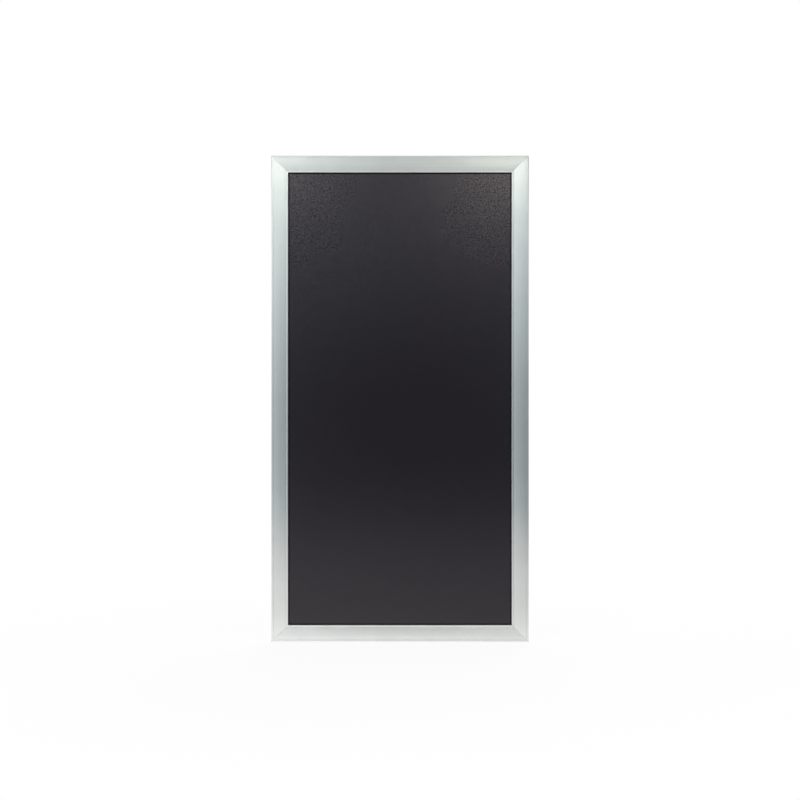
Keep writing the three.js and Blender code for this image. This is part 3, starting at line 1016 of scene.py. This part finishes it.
# Painted sheen: the specks' shine also lightens and darkens the lacquer's colour, most in the upper corners.
colour = node(
    tree,
    "ShaderNodeMix",
    {"data_type": "RGBA", "blend_type": "MULTIPLY"},
    Factor=0.35,
    i6=colour.outputs[2],
    i7=shine.outputs[0],
)
roughness = node(tree, "ShaderNodeMapRange", Value=tooth.outputs[0], To_Min=0.17, To_Max=0.25)
relief = node(tree, "ShaderNodeBump", Strength=0.35, Distance=0.08 * MM, Height=tooth.outputs[0])
relief = node(
    tree,
    "ShaderNodeBump",
    Strength=0.5,
    Distance=0.1 * MM,
    Height=specks.outputs[0],
    Normal=relief.outputs[0],
)
surface = node(
    tree,
    "ShaderNodeBsdfPrincipled",
    Base_Color=colour.outputs[2],
    Roughness=roughness.outputs[0],
    IOR=1.5,
    Specular_IOR_Level=shine.outputs[0],
    Specular_Tint=linear("#FFF4FA"),
    Normal=relief.outputs[0],
)
node(tree, "ShaderNodeOutputMaterial", Surface=surface.outputs[0])

low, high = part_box("writing_sheet")
bpy.ops.object.select_all(action="DESELECT")
bpy.ops.mesh.primitive_cube_add(size=1, location=(low + high) / 2)
writing_sheet = bpy.context.object
writing_sheet.name = "chalk_sheet"
writing_sheet.scale = high - low
bpy.ops.object.transform_apply()
end_modelling(writing_sheet, SHEET_EDGE)
hand_over(writing_sheet, "writing_sheet", "board", lacquer)


# Core and balance sheet
# The lacquered sheet is glued to a fibreboard core, and a thin sheet of grey balancing laminate on the
# core's back keeps the panel from warping. Only that laminate shows, from behind, inside the frame.

# Medium density fibreboard: wood fibres pressed with resin, a dull brown felt of short tangled flecks.
FIBRE = 0.9

fibreboard, tree, place = bare_finish("medium_density_fibreboard")
fibres = node(
    tree,
    "ShaderNodeTexNoise",
    Vector=place,
    Scale=1 / (FIBRE * MM),
    Detail=5.0,
    Roughness=0.75,
    Distortion=0.8,
)
colour = node(
    tree,
    "ShaderNodeMix",
    {"data_type": "RGBA"},
    Factor=fibres.outputs[0],
    i6=linear("#7D5F40"),
    i7=linear("#B08E66"),
)
relief = node(tree, "ShaderNodeBump", Strength=0.4, Distance=0.08 * MM, Height=fibres.outputs[0])
surface = node(
    tree,
    "ShaderNodeBsdfPrincipled",
    Base_Color=colour.outputs[2],
    Roughness=0.85,
    Normal=relief.outputs[0],
)
node(tree, "ShaderNodeOutputMaterial", Surface=surface.outputs[0])

# Balancing laminate: papers soaked in resin and pressed against a fine matt plate, so a pale grey sheet with
# faint clouds in the paper and an even tooth, which is drawn coarser than it is so that it shows.
PAPER_CLOUD = 18.0
PLATE_TOOTH = 1.2

laminate, tree, place = bare_finish("pressed_balancing_laminate")
clouds = node(
    tree,
    "ShaderNodeTexNoise",
    Vector=place,
    Scale=1 / (PAPER_CLOUD * MM),
    Detail=6.0,
    Roughness=0.7,
)
tooth = node(
    tree,
    "ShaderNodeTexNoise",
    Vector=place,
    Scale=1 / (PLATE_TOOTH * MM),
    Detail=3.0,
    Roughness=0.6,
)
colour = node(
    tree,
    "ShaderNodeMix",
    {"data_type": "RGBA"},
    Factor=clouds.outputs[0],
    i6=linear("#A9A69C"),
    i7=linear("#C4C1B7"),
)
roughness = node(tree, "ShaderNodeMapRange", Value=tooth.outputs[0], To_Min=0.5, To_Max=0.68)
relief = node(tree, "ShaderNodeBump", Strength=0.25, Distance=0.05 * MM, Height=tooth.outputs[0])
surface = node(
    tree,
    "ShaderNodeBsdfPrincipled",
    Base_Color=colour.outputs[2],
    Roughness=roughness.outputs[0],
    Normal=relief.outputs[0],
)
node(tree, "ShaderNodeOutputMaterial", Surface=surface.outputs[0])

refinish("core_board", fibreboard)
refinish("balance_sheet", laminate)


# Retaining springs
# Strips of tempered spring steel with rounded corners, bowed by hand and pushed in behind the panel. Their
# ends stand on the channel's floor, and their crown presses the panel forwards against the gasket.
SPRING_THICKNESS = 0.5
SPRING_END_RADIUS = 3.0
SPRING_END_STEPS = 6
SPRING_BENDS = 24
SPRING_EDGE = 0.08
SAME_COLUMN = 1e-6  # metres, within which points lie in one column across the strip

# Tempered spring steel: rolled strip with a blue-grey temper skin and a low shine. The fine lines along the
# rolling are drawn coarser than they are so that they show.
ROLLING_LINE_WIDTH = 0.5
ROLLING_LINE_LENGTH = 30.0
TEMPER_PATCH = 20.0


def tempered_steel(name, upright):
    steel, tree, place = bare_finish(name)
    lengthwise = node(
        tree,
        "ShaderNodeMapping",
        Vector=place,
        Scale=lines_along(ROLLING_LINE_WIDTH, ROLLING_LINE_LENGTH, upright),
    )
    rolling = node(
        tree,
        "ShaderNodeTexNoise",
        Vector=lengthwise.outputs[0],
        Scale=1.0,
        Detail=3.0,
        Roughness=0.6,
    )
    temper = node(tree, "ShaderNodeTexNoise", Vector=place, Scale=1 / (TEMPER_PATCH * MM), Detail=2.0)
    colour = node(
        tree,
        "ShaderNodeMix",
        {"data_type": "RGBA"},
        Factor=temper.outputs[0],
        i6=linear("#6F7680"),
        i7=linear("#9A9B9C"),
    )
    roughness = node(tree, "ShaderNodeMapRange", Value=rolling.outputs[0], To_Min=0.26, To_Max=0.44)
    relief = node(tree, "ShaderNodeBump", Strength=0.15, Distance=0.02 * MM, Height=rolling.outputs[0])
    surface = node(
        tree,
        "ShaderNodeBsdfPrincipled",
        Base_Color=colour.outputs[2],
        Metallic=1.0,
        Roughness=roughness.outputs[0],
        Normal=relief.outputs[0],
    )
    node(tree, "ShaderNodeOutputMaterial", Surface=surface.outputs[0])
    return steel


def select_points(piece, test):
    """Selects, in edit mode, the points whose place passes a test."""
    mesh = bmesh.from_edit_mesh(piece.data)
    for point in mesh.verts:
        point.select = test(point.co)
    mesh.select_flush_mode()
    bmesh.update_edit_mesh(piece.data)


def leaf_spring():
    """A strip along X, cut with rounded corners and then bowed, column by column, to the rise of its box."""
    low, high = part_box("retaining_spring_bottom_1")
    length, height, width = high - low
    rise = height - SPRING_THICKNESS * MM
    radius = ((length / 2) ** 2 + rise ** 2) / (2 * rise)
    bpy.ops.object.select_all(action="DESELECT")
    bpy.ops.mesh.primitive_plane_add(size=1, rotation=(math.radians(90), 0, 0))
    strip = bpy.context.object
    strip.name = "leaf_spring"
    strip.scale = (length, width, 1)
    bpy.ops.object.transform_apply()
    take_up(strip)
    bpy.ops.mesh.select_all(action="SELECT")
    bpy.ops.mesh.bevel(offset=SPRING_END_RADIUS * MM, segments=SPRING_END_STEPS, affect="VERTICES")
    for i in range(1, SPRING_BENDS):
        bpy.ops.mesh.select_all(action="SELECT")
        bpy.ops.mesh.bisect(plane_co=(length * (i / SPRING_BENDS - 0.5), 0, 0), plane_no=(1, 0, 0))
    columns = sorted({round(point.co.x, 6) for point in bmesh.from_edit_mesh(strip.data).verts})
    for column in columns:
        select_points(strip, lambda place: abs(place.x - column) < SAME_COLUMN)
        crown = math.sqrt(radius ** 2 - column ** 2) - radius + rise / 2
        bpy.ops.transform.translate(value=(0, -crown, 0))
    bpy.ops.object.mode_set(mode="OBJECT")
    sheet = strip.modifiers.new("sheet_thickness", "SOLIDIFY")
    sheet.thickness = SPRING_THICKNESS * MM
    sheet.offset = 0
    bpy.ops.object.modifier_apply(modifier=sheet.name)
    take_up(strip)
    face_outwards()
    end_modelling(strip, SPRING_EDGE, smooth_degrees=40)
    return strip


steel_across = tempered_steel("tempered_spring_steel_across", upright=False)
steel_upright = tempered_steel("tempered_spring_steel_upright", upright=True)
spring_pattern = leaf_spring()
for cad_node in sorted(name for name in frame["nodes"] if name.startswith("retaining_spring_")):
    side = cad_node.split("_")[2]
    turn = next(turn for _, name, _, _, turn in SIDES if name == side)
    spring = copy_of(spring_pattern, cad_node.replace("retaining", "leaf"))
    put(spring, turn, middle_of(cad_node))
    finish = steel_across if turn % 180 == 0 else steel_upright
    hand_over(spring, cad_node, "board", finish)
bpy.data.objects.remove(spring_pattern)


# Hangers
# A strap of zinc-plated steel whose upper end is rolled round the bar of a bent-wire D-ring. Two pan-head
# screws hold it through the channel's slot to a nut in the channel. The ring swings freely in its loop.
RING_WIRE = 1.0  # the wire's radius
RING_WIRE_SIDES = 24
RING_FIT = 0.3
RING_HALF_WIDTH = 6.7
RING_CORNER_RADIUS = 1.7
RING_CORNER_STEPS = 10
RING_SIDE = 5.2
RING_BOW_STEPS = 40
RING_JOINT = 0.3
RING_EDGE = 0.12
STRAP_THICKNESS = 0.9
STRAP_END_RADIUS = 4.0
STRAP_END_STEPS = 10
STRAP_LOOP_END = 200  # degrees
STRAP_LOOP_STEPS = (44, 40)  # outside and inside
STRAP_EDGE = 0.12
SAME_PLACE = 0.01  # points closer than this count as level
SCREW_HOLE_RADIUS = 2.3
SCREW_HOLE_SIDES = 48
HOLE_CUTTER_LENGTH = 8.0
SCREW_RADIUS = 2.0
SCREW_HEAD_HEIGHT = 2.0
SCREW_HEAD_FULLNESS = 0.55  # 1 is a half ellipse, and less is flatter on top and fuller at the edge
SCREW_HEAD_ANGLES = range(10, 90, 8)
SCREW_TIP = 0.4
SCREW_SIDES = 48
SCREW_EDGE = 0.05
SPIN_MERGE_DISTANCE = 0.005

loop_inner = RING_WIRE + RING_FIT
loop_outer = loop_inner + STRAP_THICKNESS
hinges = {joint["name"]: joint for joint in frame["joints"]}


def hinge_place(side):
    return Vector(hinges[side + "_ring_swing"]["pos_m"])


def hanger_strap():
    """Modelled with the ring's hinge line at the origin: the plate hangs down from the loop."""
    low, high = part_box("hanger_strap_left")
    width = (high.x - low.x) / MM
    foot = (low.z - hinge_place("left").z) / MM
    outside_steps, inside_steps = STRAP_LOOP_STEPS
    side_view = [(foot, -loop_outer)]
    side_view += arc((0, 0), loop_outer, -90, STRAP_LOOP_END, outside_steps)
    side_view += arc((0, 0), loop_inner, STRAP_LOOP_END, -90, inside_steps)
    side_view += [(foot, -loop_inner)]
    strap = trace("hanger_strap", [(-width / 2, depth, height) for height, depth in side_view])
    close_face()
    extrude_face(width)
    bpy.ops.mesh.select_all(action="DESELECT")
    bpy.ops.mesh.select_mode(type="EDGE")
    mesh = bmesh.from_edit_mesh(strap.data)
    for edge in mesh.edges:
        at_foot = all(point.co.z < (foot + SAME_PLACE) * MM for point in edge.verts)
        if at_foot and abs(edge.verts[0].co.x - edge.verts[1].co.x) < SAME_PLACE * MM:
            edge.select_set(True)
    bmesh.update_edit_mesh(strap.data)
    bpy.ops.mesh.bevel(offset=STRAP_END_RADIUS * MM, segments=STRAP_END_STEPS, affect="EDGES")
    bpy.ops.mesh.select_mode(type="VERT")
    bpy.ops.object.mode_set(mode="OBJECT")
    for number in ("1", "2"):
        height = middle_of("hanger_screw_left_" + number).z - hinge_place("left").z
        bpy.ops.object.select_all(action="DESELECT")
        bpy.ops.mesh.primitive_cylinder_add(
            vertices=SCREW_HOLE_SIDES,
            radius=SCREW_HOLE_RADIUS * MM,
            depth=HOLE_CUTTER_LENGTH * MM,
            location=(0, -loop_outer * MM, height),
            rotation=(math.radians(90), 0, 0),
        )
        cut_away(strap, bpy.context.object)
    end_modelling(strap, STRAP_EDGE, smooth_degrees=35)
    return strap


def hanger_ring():
    """Bent from one wire, through bar, side, bow, side and bar, with its butt joint in the strap's loop."""
    bar = RING_HALF_WIDTH - RING_CORNER_RADIUS
    straight = RING_SIDE - RING_CORNER_RADIUS
    bpy.ops.object.select_all(action="DESELECT")
    bpy.ops.mesh.primitive_circle_add(
        vertices=RING_WIRE_SIDES,
        radius=RING_WIRE * MM,
        fill_type="NGON",
        location=(RING_JOINT / 2 * MM, 0, 0),
        rotation=(0, math.radians(90), 0),
    )
    ring = bpy.context.object
    ring.name = "d_ring"
    bpy.ops.object.transform_apply()
    take_up(ring)
    bpy.ops.mesh.select_all(action="SELECT")

    def go(x, z):
        bpy.ops.mesh.extrude_region_move(TRANSFORM_OT_translate={"value": (x * MM, 0, z * MM)})

    def bend(x, z, turn, steps):
        bpy.ops.mesh.spin(steps=steps, angle=math.radians(turn), center=(x * MM, 0, z * MM), axis=(0, -1, 0))

    go(bar - RING_JOINT / 2, 0)
    bend(bar, -RING_CORNER_RADIUS, 90, RING_CORNER_STEPS)
    go(0, -straight)
    bend(0, -RING_SIDE, 180, RING_BOW_STEPS)
    go(0, straight)
    bend(-bar, -RING_CORNER_RADIUS, 90, RING_CORNER_STEPS)
    go(bar - RING_JOINT / 2, 0)
    merge_points(MERGE_DISTANCE)
    face_outwards()
    end_modelling(ring, RING_EDGE, smooth_degrees=50)
    return ring


def turned_piece(name, profile, steps):
    """Spins a half outline, given as pairs of radius and place on the Y axis, into a round piece."""
    piece = trace(name, [(radius, depth, 0) for radius, depth in profile])
    bpy.ops.mesh.select_all(action="SELECT")
    bpy.ops.mesh.spin(steps=steps, angle=math.radians(360), center=(0, 0, 0), axis=(0, 1, 0))
    merge_points(SPIN_MERGE_DISTANCE)
    face_outwards()
    return piece


def hanger_screw():
    """A pan-head screw on the Y axis with a slot across its rear, modelled about the middle of its box."""
    low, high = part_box("hanger_screw_left_1")
    head_radius = (high.x - low.x) / 2 / MM
    rear = (high.y - low.y) / 2 / MM
    shoulder = rear - SCREW_HEAD_HEIGHT
    profile = [(0, rear)]
    for degrees in SCREW_HEAD_ANGLES:
        angle = math.radians(degrees)
        rise = SCREW_HEAD_HEIGHT * math.cos(angle) ** SCREW_HEAD_FULLNESS
        profile += [(head_radius * math.sin(angle), shoulder + rise)]
    profile += [
        (head_radius, shoulder),
        (SCREW_RADIUS, shoulder),
        (SCREW_RADIUS, -rear + SCREW_TIP),
        (SCREW_RADIUS - SCREW_TIP, -rear),
        (0, -rear),
    ]
    screw = turned_piece("pan_head_screw", profile, SCREW_SIDES)
    bpy.ops.object.mode_set(mode="OBJECT")
    cut_away(screw, slot_cutter(head_radius, rear))
    end_modelling(screw, SCREW_EDGE, smooth_degrees=40)
    return screw


strap_pattern = hanger_strap()
ring_pattern = hanger_ring()
screw_pattern = hanger_screw()
for side in ("left", "right"):
    refinish("hanger_nut_" + side, zinc)
    strap = copy_of(strap_pattern, "rolled_strap_" + side)
    put(strap, 0, hinge_place(side))
    hand_over(strap, "hanger_strap_" + side, "board", zinc)
    ring = copy_of(ring_pattern, "d_ring_" + side)
    put(ring, 0, hinge_place(side))
    hand_over(ring, "hanger_ring_" + side, side + "_ring", zinc)
    for number in ("1", "2"):
        cad_node = "hanger_screw_" + side + "_" + number
        screw = copy_of(screw_pattern, "pan_head_screw_" + side + "_" + number)
        put(screw, 0, middle_of(cad_node))
        hand_over(screw, cad_node, "board", zinc)
for pattern in (strap_pattern, ring_pattern, screw_pattern):
    bpy.data.objects.remove(pattern)


# Wall bumpers
# Moulded rubber plugs: a cap that rests on the wall, a stem through the channel's slot and a barb that snaps
# in behind the slot's lips. They keep the frame off the wall and stop it sliding.
BUMPER_FLAT_RADIUS = 5.0
BUMPER_EDGE_RADIUS = 1.5
BUMPER_EDGE_STEPS = 8
BUMPER_RIM_RADIUS = 0.4
BUMPER_RIM_STEPS = 4
BUMPER_BARB_RADIUS = 3.7
BUMPER_BARB_HEIGHT = 1.4
BUMPER_STEM_FIT = 0.3
BUMPER_SIDES = 64
BUMPER_EDGE = 0.1

bumper_rubber = black_rubber("moulded_black_rubber", "#131315", "#242427", shine=0.4)
low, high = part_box("wall_bumper_top_left")
cap_radius = (high.x - low.x) / 2 / MM
stem_radius = SLOT_WIDTH / 2 - BUMPER_STEM_FIT
cap_front = -STAND_OFF + SEAT
lips_front = -STAND_OFF - REAR_LIP - SEAT
tip = lips_front - BUMPER_BARB_HEIGHT
edge_middle = (-BUMPER_EDGE_RADIUS, BUMPER_FLAT_RADIUS)
rim_middle = (cap_front + BUMPER_RIM_RADIUS, cap_radius - BUMPER_RIM_RADIUS)
rounded = arc(edge_middle, BUMPER_EDGE_RADIUS, 0, 90, BUMPER_EDGE_STEPS)
rounded += arc(rim_middle, BUMPER_RIM_RADIUS, 90, 180, BUMPER_RIM_STEPS)
profile = [(0, 0)]
profile += [(radius, depth) for depth, radius in rounded]
profile += [
    (stem_radius, cap_front),
    (stem_radius, lips_front),
    (BUMPER_BARB_RADIUS, lips_front),
    (stem_radius, tip),
    (0, tip),
]
bumper_pattern = turned_piece("rubber_bumper", profile, BUMPER_SIDES)
end_modelling(bumper_pattern, BUMPER_EDGE, smooth_degrees=35)
for end in ("top", "bottom"):
    for side in ("left", "right"):
        cad_node = "wall_bumper_" + end + "_" + side
        centre = middle_of(cad_node)
        bumper = copy_of(bumper_pattern, "rubber_bumper_" + end + "_" + side)
        put(bumper, 0, (centre.x, 0, centre.z))
        hand_over(bumper, cad_node, "board", bumper_rubber)
bpy.data.objects.remove(bumper_pattern)
